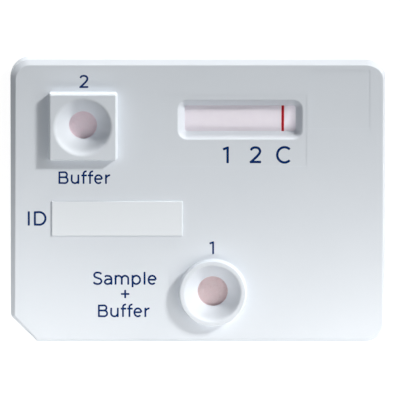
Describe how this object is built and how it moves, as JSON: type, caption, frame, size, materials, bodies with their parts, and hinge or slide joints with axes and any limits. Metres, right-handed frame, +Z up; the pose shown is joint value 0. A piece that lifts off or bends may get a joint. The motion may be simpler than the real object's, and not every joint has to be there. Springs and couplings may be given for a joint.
{
  "type": "lateral flow cassette",
  "caption": "Flat white moulded test cassette with a square buffer well, a round sample well and a bevelled reading window over crossed test strips.",
  "frame": {"origin": "middle of the underside's outline, on the table", "axes": "+X along the test strip from the buffer well to the reading window, +Y from the sample well to the reading window, +Z up"},
  "size_m": [0.0654, 0.05, 0.0071],
  "materials": {
    "housing": "satin moulded polystyrene",
    "backing": "smooth card film",
    "membrane": "fine matt",
    "conjugate": "soft glass fibre",
    "buffer_fleece": "soft fibre",
    "wick": "soft cotton fibre",
    "sample_fleece": "soft fibre"
  },
  "bodies": {
    "root": {"top_housing": "housing", "bottom_housing": "housing", "test_strip_backing": "backing", "test_membrane": "membrane", "conjugate_pad": "conjugate", "buffer_pad": "buffer_fleece", "absorbent_pad": "wick", "sample_strip_backing": "backing", "transfer_membrane": "membrane", "sample_pad": "sample_fleece"}
  },
  "joints": []
}
